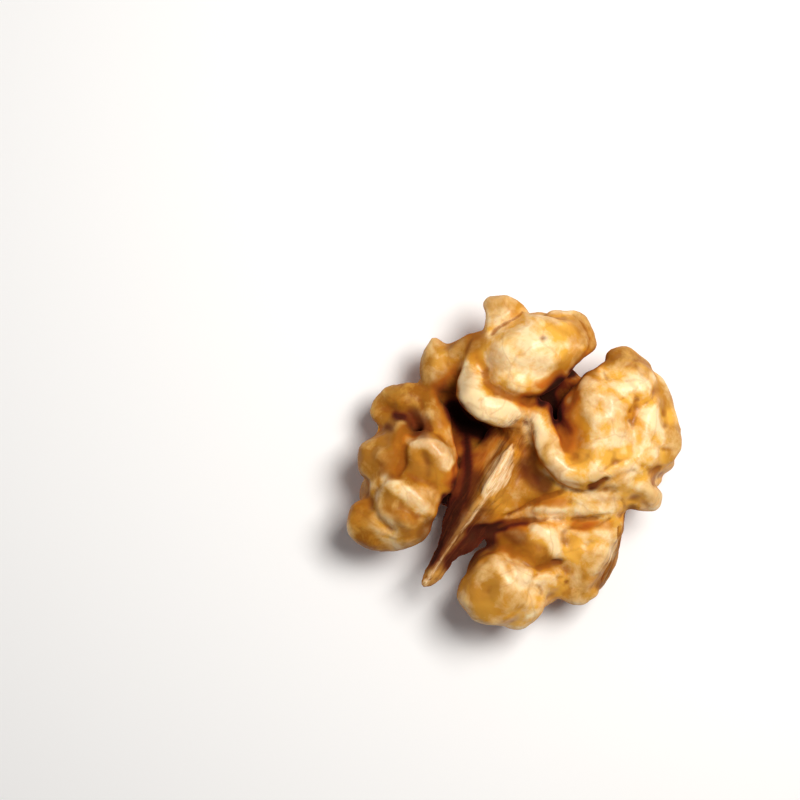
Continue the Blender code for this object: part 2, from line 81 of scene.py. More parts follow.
# The kernel's fine surface
# One grown piece: the folded lobes and the germ flap under a thin skin. The surface is the model's own
# form, made smooth and fine, with its folds sharpened, its creases pressed in and small wrinkles raised.
WELD = 0.002  # corners nearer than this become one, mm
SKIN_GRAIN = 0.21  # spacing of the fine net, mm
NET_ROUNDS = 3  # rounds that take the net's steps away
SHARPEN = 0.9  # how much of the form's own relief is added again
SHARPEN_ROUNDS = 14  # rounds that make the smoother copy which that relief is measured from
WRINKLE_SEED = 20
WRINKLES = ((2.6, 0.10), (1.3, 0.065), (0.7, 0.04))  # wavelength and height, mm
# Creases: depth and half width, then points (x, y) as seen, all in mm. A negative depth is a raised edge.
FOLD_LINES = [
    (0.15, 0.18, [(-2.3, 13.0), (-1.6, 13.7), (-0.5, 14.3), (0.3, 14.7), (1.0, 15.3)]),
    (0.16, 0.16, [(6.0, 15.2), (6.8, 14.4), (7.4, 13.5), (7.8, 12.5), (7.6, 11.5), (6.9, 10.9)]),
    (0.16, 0.5, [(3.2, 14.7), (4.3, 13.7), (5.6, 12.9), (6.8, 12.2)]),
    (0.12, 0.5, [(-2.7, 9.3), (-2.4, 8.1), (-1.6, 7.3), (-0.3, 6.8), (1.2, 6.6)]),
    (0.08, 0.3, [(-3.5, 6.5), (-2.3, 6.2), (-1.0, 6.3), (0.2, 6.1)]),
    (0.15, 0.14, [(2.7, 12.6), (2.8, 12.6)]),
    (0.08, 0.6, [(8.2, 6.1), (8.6, 5.9)]),
    (0.08, 0.4, [(9.0, 9.2), (9.3, 8.2), (10.2, 7.2), (11.1, 6.3), (11.5, 5.3)]),
    (0.08, 0.4, [(7.7, 9.1), (8.7, 8.7), (9.3, 7.7)]),
    (0.1, 0.35, [(10.5, 9.9), (11.1, 8.7), (11.9, 7.7), (12.3, 6.5)]),
    (0.08, 0.35, [(12.1, 10.3), (12.7, 9.1), (12.9, 7.9)]),
    (0.12, 0.25, [(9.8, 10.5), (10.3, 9.9), (11.3, 9.8), (12.1, 10.5)]),
    (-0.15, 0.4, [(11.6, 4.9), (12.4, 5.9), (13.4, 6.9)]),
    (0.05, 0.5, [(11.5, 5.1), (11.6, 4.0), (11.2, 2.7), (11.3, 1.0)]),
    (0.2, 0.5, [(14.9, 5.0), (15.1, 4.0)]),
    (0.12, 0.35, [(13.7, 2.5), (14.7, 1.7), (16.2, 1.5)]),
    (0.16, 0.35, [(12.7, 0.0), (13.7, -0.5), (14.7, -0.3)]),
    (0.12, 0.3, [(8.7, -0.5), (9.9, 0.3), (11.2, 0.7)]),
    (0.16, 0.25, [(9.2, -1.7), (10.5, -0.9), (11.9, -0.5)]),
    (-0.2, 0.25, [(3.2, 5.3), (3.7, 4.0), (4.3, 2.5)]),
    (0.1, 0.3, [(3.3, -1.3), (4.7, -2.1), (6.5, -2.1), (7.5, -1.8)]),
    (0.35, 0.3, [(7.5, -2.2), (8.2, -2.0), (9.0, -1.4)]),
    (0.22, 0.2, [(-0.3, -5.2), (0.9, -4.5), (2.2, -3.7), (3.3, -3.2), (4.5, -2.8)]),
    (0.2, 0.2, [(-1.3, -6.3), (-0.1, -5.8), (1.7, -5.6), (3.2, -5.5)]),
    (0.14, 0.25, [(5.9, -6.3), (7.2, -6.4), (8.5, -6.1), (9.7, -5.4)]),
    (0.12, 0.25, [(5.9, -5.4), (7.7, -5.3), (9.6, -4.9)]),
    (0.06, 0.35, [(5.7, -3.5), (5.9, -4.7), (5.7, -5.9)]),
    (0.1, 0.25, [(10.9, -3.5), (11.3, -4.3), (10.9, -5.5)]),
    (0.08, 0.5, [(4.9, -7.5), (5.8, -8.3), (6.1, -9.7), (5.9, -10.7)]),
    (0.08, 0.25, [(6.6, -11.5), (7.5, -11.4), (8.5, -11.1)]),
    (0.12, 0.16, [(4.4, -11.3), (4.9, -11.3)]),
    (0.2, 0.13, [(5.4, -11.8), (5.5, -11.8)]),
    (0.1, 0.3, [(5.2, -13.2), (5.9, -12.5)]),
    (0.1, 0.4, [(2.7, -13.5), (2.8, -12.3), (3.5, -11.1)]),
    (0.12, 0.3, [(2.2, -11.0), (1.5, -11.8), (1.7, -12.7)]),
    (0.14, 0.35, [(-0.8, -9.5), (-0.3, -10.7), (0.7, -11.7), (1.7, -12.1)]),
    (0.05, 0.3, [(-1.5, -8.9), (0.4, -9.4), (1.9, -10.4), (2.9, -10.3), (3.9, -9.7)]),
    (0.3, 0.22, [(4.0, -9.75), (4.8, -9.8)]),
    (0.3, 0.16, [(10.8, -6.3), (10.8, -8.3), (10.0, -10.1), (9.2, -11.7)]),
    (0.25, 0.13, [(11.4, -6.5), (11.3, -8.5), (10.4, -10.3), (9.6, -11.9)]),
    (
        0.2,
        0.3,
        [(-6.0, 2.0), (-7.4, 2.9), (-9.2, 3.0), (-10.6, 2.5), (-11.0, 1.4), (-10.9, 0.2), (-11.5, -0.8)],
    ),
    (0.04, 0.3, [(-11.6, -0.7), (-10.0, -1.3)]),
    (0.1, 0.6, [(-11.2, -4.2), (-9.8, -4.9)]),
    (0.15, 0.3, [(-13.0, -1.6), (-14.0, -2.7), (-14.1, -4.2), (-13.4, -5.5), (-12.2, -6.5)]),
    (0.1, 0.2, [(-13.3, -7.0), (-11.8, -7.5), (-10.3, -7.1)]),
    (0.16, 0.25, [(-9.3, 6.5), (-8.9, 5.0), (-8.1, 3.5)]),
]
# Notches in the outline, between one lobe's fold and the next, in the same form.
NOTCHES = [
    (0.8, 1.0, [(-14.8, 3.6), (-13.6, 3.8)]),
    (0.7, 0.9, [(15.8, -1.4), (14.8, -1.6)]),
]


def fine_copy(cad, grain):
    """The node's triangles as one welded mesh, rounded by two subdivisions and laid on an even net."""
    mesh = cad.data.copy()
    piece = bpy.data.objects.new("walnut_kernel", mesh)
    bpy.context.scene.collection.objects.link(piece)
    shape = bmesh.new()
    shape.from_mesh(mesh)
    bmesh.ops.remove_doubles(shape, verts=shape.verts, dist=WELD * MM)
    shape.to_mesh(mesh)
    shape.free()
    rounded = piece.modifiers.new("rounded", "SUBSURF")
    rounded.levels = rounded.render_levels = 2
    net = piece.modifiers.new("net", "REMESH")
    net.mode = "VOXEL"
    net.voxel_size = grain * MM
    graph = bpy.context.evaluated_depsgraph_get()
    piece.data = bpy.data.meshes.new_from_object(piece.evaluated_get(graph))
    piece.modifiers.clear()
    piece.data.materials.clear()
    return piece


def read_points(mesh):
    """The mesh's points in mm, one row for each."""
    flat = np.empty(len(mesh.vertices) * 3)
    mesh.vertices.foreach_get("co", flat)
    return flat.reshape(-1, 3) / MM


def write_points(mesh, points):
    """Puts points in mm into the mesh."""
    mesh.vertices.foreach_set("co", (points * MM).ravel())
    mesh.update()


def read_normals(mesh):
    """The outward direction at each point, one row for each."""
    flat = np.empty(len(mesh.vertices) * 3)
    mesh.vertex_normals.foreach_get("vector", flat)
    return flat.reshape(-1, 3)


def edge_pairs(mesh):
    """The two points of each edge, one row for each."""
    flat = np.empty(len(mesh.edges) * 2, int)
    mesh.edges.foreach_get("vertices", flat)
    return flat.reshape(-1, 2)


def spread(values, pairs, rounds):
    """Each round moves every value halfway to the mean of its neighbours along the mesh's edges."""
    values = values.astype(float).copy()
    count = len(values)
    a, b = pairs.T
    degree = np.bincount(a, minlength=count) + np.bincount(b, minlength=count)
    columns = values.reshape(count, -1)
    for _ in range(rounds):
        for k in range(columns.shape[1]):
            near = np.bincount(a, columns[b, k], count) + np.bincount(b, columns[a, k], count)
            columns[:, k] = (columns[:, k] + near / degree) / 2
    return values


def gradient_noise(points, seed):
    """Perlin noise: random gradients on a unit lattice, blended by a fifth-degree fade."""
    rng = np.random.default_rng(seed)
    order = rng.permutation(256)
    gradients = rng.normal(size=(256, 3))
    gradients /= np.linalg.norm(gradients, axis=1)[:, None]
    cell = np.floor(points).astype(int)
    inside = points - cell
    fade = inside**3 * (inside * (inside * 6 - 15) + 10)
    total = np.zeros(len(points))
    for corner in np.ndindex(2, 2, 2):
        x, y, z = ((cell + corner) % 256).T
        slope = gradients[order[(order[(order[x] + y) % 256] + z) % 256]]
        weight = np.prod(np.where(corner, fade, 1 - fade), axis=1)
        total += weight * np.einsum("ij,ij->i", slope, inside - corner)
    return total


def line_distance(points, line):
    """Distance of every point to a line of straight pieces, all in the view's plane."""
    nearest = np.full(len(points), np.inf)
    for start, end in zip(np.array(line), np.array(line)[1:]):
        step = end - start
        share = np.clip((points - start) @ step / (step @ step), 0, 1)
        nearest = np.minimum(nearest, np.linalg.norm(points - start - share[:, None] * step, axis=1))
    return nearest


def pressed(points, lines):
    """How deep the deepest crease is at each point, as a bell curve across it."""
    view = seen(points[:, :2])
    deepest = np.zeros(len(points))
    for depth, width, line in lines:
        bell = depth * np.exp(-((line_distance(view, line) / width) ** 2))
        deepest = np.where(np.abs(bell) > np.abs(deepest), bell, deepest)
    return deepest


def fine_surface():
    """The finished piece, and how deep the pressed creases are at each vertex.

    The fine net is smoothed, and its height over a much smoother copy is added again. Notches and creases go
    in along the outward direction, creases on skin that faces up, and waves of noise raise the wrinkles.
    """
    piece = fine_copy(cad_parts["kernel"], SKIN_GRAIN)
    mesh = piece.data
    pairs = edge_pairs(mesh)
    points = spread(read_points(mesh), pairs, NET_ROUNDS)
    write_points(mesh, points)
    normals = read_normals(mesh)
    relief = np.einsum("ij,ij->i", points - spread(points, pairs, SHARPEN_ROUNDS), normals)
    points += SHARPEN * relief[:, None] * normals
    points -= pressed(points, NOTCHES)[:, None] * normals
    crease = pressed(points, FOLD_LINES) * np.clip(2 * normals[:, 2], 0, 1)
    wrinkle = np.zeros(len(points))
    for k, (wave, size) in enumerate(WRINKLES):
        wrinkle += 2 * size * gradient_noise(points / wave, WRINKLE_SEED + k)
    points += (wrinkle - crease)[:, None] * normals
    points = spread(points, pairs, 1)
    points[:, 2] = np.maximum(points[:, 2], 0)
    write_points(mesh, points)
    mesh.shade_smooth()
    return piece, crease


kernel, crease_depth = fine_surface()
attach(kernel, "root")
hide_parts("kernel")

# The skin's colour and gloss
# A thin golden-brown skin over cream flesh, oily enough to shine, with fine brown veins and a pale bare
# streak down the germ's crest.
# Painted highlight and painted shade lie on it: it is painted palest on the tops of the folds, and goes
# through orange to dark red-brown in the valleys and on the sides.
SKY_RAYS = 40
SKY_SPREAD = 0.9  # how far the rays fan out, where 1 would lay the last one along the skin
SKY_REACH = 9.0  # how far off a fold still shades a valley, mm
RAY_START = 0.1  # height over the skin at which a ray starts, mm
SKY_ROUNDS = 10
# Painted shade: the sides and back count less open, so they are coloured darker.
SIDE_SHADE = 0.55  # how open the skin of the sides and back counts, against the tops
HOLLOW_ROUNDS = 16  # rounds that smooth the copy which small hollows are measured from
HOLLOW_FULL = 0.08  # depth that counts as a full hollow, mm
CROWN_ROUNDS = 60  # the same for the broad crowns of the folds
CROWN_FULL = 0.35  # height that counts as a full crown, mm
CREASE_FULL = 0.45  # depth that counts as a full crease, mm
WANDER = 0.25  # how far noise shifts the edges of the placed spots, mm
WANDER_WAVE = 1.1  # mm
WANDER_SEED = 40
SOFT_ROUNDS = 3  # rounds that soften those edges
# Worn skin and painted highlight count more open, and lose some of a hollow's painted shade.
WORN_AND_LIT_OPENS = 0.25  # how much more open worn skin counts
WORN_AND_LIT_FILLS = 0.8  # how much of a hollow's colour is worn away
# Stained places and painted shade in deep gaps and holes: strength, radius, points (x, y) as seen, mm.
STAINS_AND_SHADE = [
    (1.0, 0.7, [(-5.9, 5.8), (-4.9, 4.0), (-3.0, 3.3)]),
    (0.95, 0.35, [(-4.6, 4.0), (-4.5, 1.6), (-4.4, -1.0), (-5.0, -3.5)]),
    (0.4, 0.4, [(-4.4, -3.6), (-5.2, -5.6)]),
    (0.5, 0.8, [(-2.9, -5.1), (-4.4, -6.4), (-5.6, -8.2)]),
    (0.5, 0.4, [(-8.3, -5.6), (-9.2, -7.0)]),
    (0.75, 0.9, [(-4.3, -1.4), (-5.5, -4.2), (-7.0, -7.0), (-8.3, -9.4)]),
    (0.95, 0.5, [(-5.6, -4.0), (-7.0, -7.0), (-8.2, -9.6)]),
    (0.9, 1.0, [(-2.8, -7.4), (-4.2, -8.2), (-5.8, -9.8)]),
    (0.95, 0.4, [(-6.8, -3.3), (-6.9, -5.2)]),
    (0.7, 0.7, [(1.5, 0.2), (1.9, -1.0), (3.0, -2.0)]),
    (0.9, 0.28, [(7.6, -2.2), (8.2, -2.0)]),
    (0.8, 0.15, [(8.2, -1.9), (9.2, -1.2)]),
    (1.0, 0.5, [(2.9, 6.4), (3.9, 7.4), (4.7, 8.3)]),
    (1.0, 0.4, [(6.0, 9.2), (6.8, 9.6)]),
    (1.0, 0.5, [(4.3, 6.6), (4.3, 4.6)]),
    (0.3, 0.6, [(5.2, 6.8), (5.1, 5.0), (5.2, 3.8)]),
    (0.95, 0.7, [(-3.8, -6.9), (-2.8, -6.7)]),
    (0.95, 0.45, [(-2.8, -6.7), (-1.0, -6.2)]),
    (0.85, 0.22, [(-1.0, -6.1), (1.4, -5.8)]),
    (0.5, 0.6, [(-0.8, -6.4), (0.6, -7.2)]),
    (0.5, 0.35, [(12.0, -4.4), (11.5, -7.5), (10.2, -10.5), (9.0, -12.3)]),
    (0.15, 0.6, [(1.2, -9.4), (2.6, -9.9), (4.6, -9.8)]),
    (0.25, 1.0, [(-6.8, 8.2), (-5.4, 8.4)]),
    (0.7, 0.8, [(-9.9, 4.6), (-9.2, 3.8)]),
    (0.9, 0.35, [(-11.7, 4.9), (-11.0, 4.8)]),
    (0.7, 0.25, [(-12.6, 3.8), (-12.3, 3.6)]),
    (0.4, 0.2, [(-8.8, 1.2), (-8.4, 0.2), (-8.5, -1.0)]),
    (0.4, 0.2, [(-13.2, 0.2), (-13.2, -0.9), (-12.1, -1.1)]),
    (0.8, 0.14, [(2.7, 12.6), (2.95, 12.65)]),
    (0.6, 0.25, [(4.2, -9.8), (4.9, -9.7)]),
    (0.6, 0.12, [(5.4, -11.8), (5.5, -11.9)]),
    (0.35, 0.12, [(4.4, -11.3), (4.9, -11.3)]),
]
# Painted shade: places coloured as red-brown as a shaded valley, in the same form.
PAINTED_SHADE_SPOTS = [
    (0.18, 1.0, [(5.5, 7.4), (5.4, 4.8), (5.8, 2.8)]),
    (0.28, 0.45, [(4.9, 5.8), (4.9, 4.2), (5.3, 3.2)]),
    (0.2, 0.6, [(-3.9, 12.6), (-3.7, 10.6)]),
    (0.25, 0.6, [(-0.2, 6.9), (1.6, 6.7)]),
    (0.25, 0.7, [(-5.4, 9.6), (-5.8, 8.0), (-7.6, 7.8)]),
    (0.5, 0.6, [(-9.9, 3.1), (-11.2, 2.9), (-11.4, 1.8)]),
    (0.3, 0.5, [(-6.5, -0.4), (-6.3, -1.8)]),
    (0.3, 0.3, [(-10.3, -1.0), (-9.4, -1.5)]),
    (0.25, 0.4, [(3.0, -3.6), (5.4, -3.9)]),
    (0.25, 0.5, [(-12.4, 7.1), (-11.6, 7.0)]),
    (0.4, 0.5, [(-12.8, -4.5), (-11.6, -5.1), (-10.2, -5.4)]),
    (0.2, 0.6, [(-5.6, 12.4), (-3.8, 13.2)]),
    (0.35, 0.6, [(-4.0, 12.6), (-4.1, 10.6)]),
    (0.2, 0.5, [(-7.0, 6.2), (-6.6, 4.4)]),
    (0.3, 0.7, [(-12.6, 0.4), (-12.0, -1.0)]),
    (0.35, 0.4, [(6.4, -6.1), (9.6, -6.1)]),
    (0.4, 0.4, [(2.4, 8.2), (3.4, 8.4), (4.4, 9.0)]),
    (0.25, 0.7, [(-0.6, -8.0), (1.4, -8.6), (3.0, -9.6)]),
]
# Worn places and painted highlights, where the skin is palest, in the same form.
WORN_AND_LIT = [
    (1.0, 0.45, [(-10.2, 2.4), (-8.8, 2.4), (-7.4, 1.7), (-6.6, 0.9), (-6.5, 0.3)]),
    (0.9, 0.5, [(-12.6, -1.6), (-11.0, -2.5), (-9.6, -3.6), (-9.2, -4.2)]),
    (0.4, 0.6, [(-2.6, 9.4), (-1.4, 8.2), (0.2, 7.6)]),
    (1.0, 0.9, [(-4.4, 9.2), (-4.5, 7.4), (-3.2, 5.8), (-0.8, 4.7)]),
    (0.9, 1.3, [(0.2, 10.9), (1.9, 10.0)]),
    (0.8, 0.5, [(2.4, 4.4), (2.8, 3.2)]),
    (0.8, 0.45, [(4.0, 1.0), (4.5, -0.2)]),
    (0.7, 0.6, [(1.7, 3.9), (2.0, 2.5)]),
    (0.4, 0.4, [(-1.8, 3.6), (-0.9, 3.5)]),
    (0.4, 0.5, [(-13.8, -2.6), (-13.7, -4.0)]),
    (0.5, 0.4, [(-9.0, -2.4), (-8.4, -2.6)]),
    (0.5, 0.5, [(-0.4, -5.0), (1.2, -5.0)]),
    (0.6, 0.4, [(5.6, -4.6), (9.2, -4.5)]),
    (0.6, 0.4, [(10.2, -8.0), (10.3, -9.2)]),
    (1.0, 0.6, [(5.0, 6.8), (6.2, 8.4)]),
    (0.7, 0.5, [(-3.2, -8.6), (-1.6, -8.6)]),
    (0.5, 0.5, [(0.6, -9.8), (1.4, -10.1)]),
    (0.6, 0.5, [(11.6, 3.9), (11.3, 2.6)]),
    (0.7, 0.5, [(1.8, -4.9), (4.6, -5.0)]),
    (0.8, 0.4, [(3.4, -0.4), (4.4, -1.7), (6.2, -2.2)]),
    (0.7, 0.5, [(-1.0, 2.0), (-2.2, -0.1), (-3.1, -2.4)]),
    (0.6, 0.8, [(-13.4, -5.6), (-12.2, -7.2)]),
    (0.8, 0.9, [(-1.7, 10.6), (-1.3, 11.8), (-0.6, 13.0), (0.8, 13.8)]),
    (0.7, 0.6, [(-6.2, 3.4), (-5.8, 1.4)]),
    (0.5, 0.6, [(2.2, -12.4), (3.0, -13.2)]),
    (0.6, 0.35, [(-2.2, 13.0), (-0.5, 14.3), (1.0, 15.2)]),
    (0.5, 0.4, [(6.4, 7.4), (7.0, 8.6)]),
    (0.4, 0.8, [(5.3, -9.8), (5.7, -11.4)]),
    (0.8, 0.3, [(2.0, -6.2), (3.2, -6.8), (4.0, -7.8), (4.4, -8.8)]),
    (0.8, 0.7, [(-0.9, -9.9), (0.8, -11.4)]),
    (0.9, 0.8, [(7.4, -3.7), (9.4, -3.9)]),
    (0.7, 0.8, [(8.8, 6.0), (8.6, 3.0)]),
    (0.9, 0.5, [(8.2, 6.3), (9.6, 6.2)]),
    (0.9, 0.6, [(9.0, 3.0), (10.2, 2.6)]),
    (0.8, 0.5, [(9.2, 8.6), (10.4, 7.4)]),
    (0.6, 0.5, [(10.0, -1.2), (11.2, -0.6)]),
    (0.5, 0.6, [(10.4, 9.4), (12.2, 8.6)]),
    (0.8, 0.8, [(-0.6, 10.2), (0.2, 9.0)]),
    (0.7, 0.9, [(13.6, 4.6), (13.4, 2.0)]),
]
# Tanned places and painted shade, where the skin is darker gold, in the same form: partly the skin's own
# tone, partly shade painted on sides turned from the light and under neighbouring folds.
TANS_AND_SHADE = [
    (0.85, 3.2, [(-12.4, 3.0), (-11.8, -0.6), (-12.4, -4.6)]),
    (1.0, 1.1, [(-15.4, -4.8), (-14.8, -6.6), (-13.4, -8.2)]),
    (0.5, 0.9, [(-8.4, 6.6), (-7.2, 2.8)]),
    (1.0, 1.3, [(-11.6, 6.9), (-9.6, 6.8)]),
    (0.35, 1.8, [(-7.4, 10.0), (-7.0, 8.4)]),
    (0.8, 0.7, [(-9.0, 11.6), (-9.0, 9.0)]),
    (0.8, 0.9, [(-5.8, 12.0), (-3.6, 12.6)]),
    (0.9, 0.8, [(-13.6, 6.6), (-13.9, 4.6)]),
    (0.7, 0.6, [(-8.4, 6.0), (-7.4, 4.0)]),
    (0.9, 0.9, [(10.0, 10.7), (11.6, 10.9), (13.0, 10.1)]),
    (0.45, 1.7, [(-4.4, -12.6), (-3.0, -14.6)]),
    (0.65, 1.5, [(-3.6, -10.2), (-3.0, -12.0)]),
    (1.0, 0.9, [(-0.5, -8.0), (1.2, -8.4), (3.0, -9.3)]),
    (0.45, 1.6, [(7.0, -12.2), (8.6, -10.6)]),
    (0.8, 0.8, [(6.6, -11.2), (6.4, -12.6)]),
    (0.4, 0.6, [(7.6, 6.8), (7.4, 4.8)]),
    (0.7, 0.45, [(12.2, -5.0), (10.9, -8.4), (8.9, -12.2)]),
    (0.5, 1.3, [(0.4, -2.6), (2.2, -3.0)]),
    (0.6, 0.6, [(0.6, -0.6), (0.9, -2.0)]),
    (0.3, 0.8, [(-3.9, 9.6), (-2.6, 8.0), (-0.6, 7.3)]),
    (0.5, 0.8, [(4.2, 8.8), (6.2, 10.4)]),
    (0.8, 0.8, [(7.0, 14.2), (8.0, 12.6)]),
    (0.5, 0.9, [(-1.6, 16.6), (0.4, 16.4), (0.9, 15.5)]),
    (0.9, 0.45, [(3.0, 2.2), (3.5, 0.4)]),
    (0.8, 0.6, [(-0.2, 3.4), (0.6, 2.2)]),
    (0.7, 0.6, [(0.2, -0.8), (0.8, -1.8)]),
    (0.6, 0.8, [(-8.4, 12.0), (-7.2, 12.2)]),
    (0.5, 0.8, [(-12.6, 7.4), (-12.0, 6.8)]),
    (0.5, 0.8, [(-0.6, -12.6), (0.2, -13.4)]),
    (0.8, 0.5, [(3.2, 2.7), (3.8, 1.6)]),
    (0.6, 0.8, [(16.4, 3.2), (16.4, 1.0)]),
    (0.8, 0.6, [(6.6, 10.6), (7.6, 9.6)]),
    (0.6, 0.5, [(8.0, -1.2), (8.4, -1.3)]),
    (0.6, 0.4, [(8.8, -2.6), (9.6, -2.4)]),
    (0.6, 0.7, [(15.0, 7.4), (15.4, 6.4)]),
    (0.5, 0.6, [(13.6, -2.4), (14.2, -2.8)]),
    (0.9, 0.7, [(-3.0, -3.6), (-4.3, -5.6), (-6.0, -7.8), (-8.4, -11.6)]),
]
# The bare streak down the germ's crest: points (x, y) as seen, half width there in mm, and how bare.
BARE = np.array([
    (-0.2, 2.0, 0.30, 0.5),
    (-0.4, 1.2, 0.70, 1.0),
    (-1.0, 0.0, 1.30, 1.0),
    (-1.4, -1.2, 1.45, 1.0),
    (-1.8, -2.1, 0.90, 1.0),
    (-2.5, -2.9, 0.45, 0.9),
    (-3.0, -3.6, 0.25, 0.7),
    (-4.3, -5.6, 0.20, 0.6),
    (-6.0, -7.8, 0.20, 0.6),
    (-7.4, -9.9, 0.24, 0.7),
    (-8.8, -12.0, 0.40, 0.9),
])
# Fibres: direction in degrees as seen, and the line (x, y) and radius that they cover, mm.
FIBRES = [
    (57, 2.8, [(0.4, 3.2), (-0.3, 1.5), (-3.3, -3.5), (-6.0, -7.4), (-9.0, -12.4)]),
    (68, 1.1, [(12.3, -5.0), (10.9, -8.4), (8.7, -12.4)]),
]


def open_sky(piece):
    """The share of rays from each vertex that meet no other fold near by.

    The rays lie on a spiral of even directions round the outward direction. They start at the solid's own
    corners, and each vertex of the fine net takes the value of the nearest corner, softened.
    """
    shape = bmesh.new()
    shape.from_mesh(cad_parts["kernel"].data)
    bmesh.ops.remove_doubles(shape, verts=shape.verts, dist=WELD * MM)
    tree = BVHTree.FromBMesh(shape)
    turn = np.arange(SKY_RAYS) * math.pi * (3 - math.sqrt(5))
    height = 1 - (np.arange(SKY_RAYS) + 0.5) / SKY_RAYS * SKY_SPREAD
    flat = np.sqrt(1 - height**2)
    rays = np.column_stack([flat * np.cos(turn), flat * np.sin(turn), height])
    places = KDTree(len(shape.verts))
    free = np.empty(len(shape.verts))
    for i, corner in enumerate(shape.verts):
        places.insert(corner.co, i)
        out = corner.normal
        aim = out.to_track_quat("Z", "Y").to_matrix()
        start = corner.co + out * RAY_START * MM
        hits = sum(tree.ray_cast(start, aim @ Vector(ray), SKY_REACH * MM)[0] is not None for ray in rays)
        free[i] = 1 - hits / SKY_RAYS
    shape.free()
    places.balance()
    nearest = [places.find(v.co)[1] for v in piece.data.vertices]
    return spread(free[nearest], edge_pairs(piece.data), SKY_ROUNDS)


def patches(points, normals, spots):
    """The strongest spot at each point of skin that faces up: full inside its radius, then a soft edge."""
    view = seen(points[:, :2])
    most = np.zeros(len(points))
    for strength, radius, line in spots:
        share = np.clip(1.5 - 0.5 * (line_distance(view, line) / radius) ** 2, 0, 1)
        most = np.maximum(most, strength * share)
    return most * np.clip(0.4 + 2 * normals[:, 2], 0, 1)


def tapered(points, line):
    """Full on a line of straight pieces, 0 at its half width: both change evenly along each piece."""
    view = seen(points[:, :2])
    most = np.zeros(len(view))
    for start, end in zip(line, line[1:]):
        step = (end - start)[:2]
        share = np.clip((view - start[:2]) @ step / (step @ step), 0, 1)
        gap = np.linalg.norm(view - start[:2] - share[:, None] * step, axis=1)
        width, full = start[2:, None] + share * (end - start)[2:, None]
        most = np.maximum(most, full * (1 - (gap / width) ** 2))
    return most


def fibre_places(points):
    """Each point's place in a space shortened ten times along its fibres, and how fibrous the skin is."""
    view = seen(points[:, :2])
    places = np.column_stack([view, points[:, 2]])
    fibrous = np.zeros(len(points))
    for angle, radius, line in FIBRES:
        along = np.array([math.cos(math.radians(angle)), math.sin(math.radians(angle))])
        here = np.clip(2 - 2 * line_distance(view, line) / radius, 0, 1)
        near = here > 0
        places[near, :2] = view[near] - 0.9 * (view[near] @ along)[:, None] * along
        fibrous = np.maximum(fibrous, here)
    return places, fibrous


def store(mesh, name, values):
    """Keeps one number or one vector for each point, for the material to read."""
    kind, field = ("FLOAT", "value") if values.ndim == 1 else ("FLOAT_VECTOR", "vector")
    mesh.attributes.new(name, kind, "POINT").data.foreach_set(field, values.astype(np.float32).ravel())


def mark_skin(piece, crease):
    """Stores what the material reads at each vertex: how open, hollow and creased the skin is, its stains
    and painted shade, its worn places and painted highlights, its tanned places and painted shade, and how
    bare and fibrous it is. Hollows and crowns are the height under and over a smoothed copy."""
    mesh = piece.data
    points = read_points(mesh)
    normals = read_normals(mesh)
    pairs = edge_pairs(mesh)
    sky = open_sky(piece)
    hollow = -np.einsum("ij,ij->i", points - spread(points, pairs, HOLLOW_ROUNDS), normals)
    crown = np.einsum("ij,ij->i", points - spread(points, pairs, CROWN_ROUNDS), normals)
    places, fibrous = fibre_places(points)
    shifts = [gradient_noise(points / WANDER_WAVE, WANDER_SEED + k) for k in range(3)]
    wander = WANDER * np.column_stack(shifts)
    # Skin that faces up counts 1, and skin that faces down counts 0, with an even change between them. This
    # paints shade on the sides and back, and lets painted highlight fall on the tops.
    facing_up = np.clip((spread(normals[:, 2], pairs, 4) + 0.2) / 0.9, 0, 1)
    # Placed spots: worn skin and painted highlight, painted shade, stains and painted shade in deep gaps,
    # tanned skin and painted shade.
    worn_and_lit = spread(patches(points + 2 * wander, normals, WORN_AND_LIT), pairs, SOFT_ROUNDS)
    # Painted shade: these spots make the skin count less open, so it is coloured darker.
    painted_shade = spread(patches(points + 2 * wander, normals, PAINTED_SHADE_SPOTS), pairs, SOFT_ROUNDS)
    stain_and_shade = spread(patches(points + wander, normals, STAINS_AND_SHADE), pairs, SOFT_ROUNDS)
    tan_and_shade = spread(patches(points + 2 * wander, normals, TANS_AND_SHADE), pairs, SOFT_ROUNDS) * (1 - worn_and_lit)
    openness = sky * (SIDE_SHADE + (1 - SIDE_SHADE) * facing_up) + WORN_AND_LIT_OPENS * worn_and_lit - painted_shade
    store(mesh, "open", np.clip(openness, 0, 1))
    store(mesh, "fold", np.clip(hollow / HOLLOW_FULL - WORN_AND_LIT_FILLS * worn_and_lit, -1, 1))
    store(mesh, "crease", np.clip(spread(crease, pairs, 1) / CREASE_FULL, 0, 1))
    store(mesh, "stain_and_shade", stain_and_shade)
    store(mesh, "crown", np.clip(crown / CROWN_FULL, 0, 1) * facing_up)
    store(mesh, "worn_and_lit", worn_and_lit)
    store(mesh, "tan_and_shade", tan_and_shade)
    store(mesh, "bare", spread(tapered(points, BARE) * np.clip(3 * normals[:, 2], 0, 1), pairs, 1))
    store(mesh, "fibre_place", places)
    store(mesh, "fibrous", fibrous)


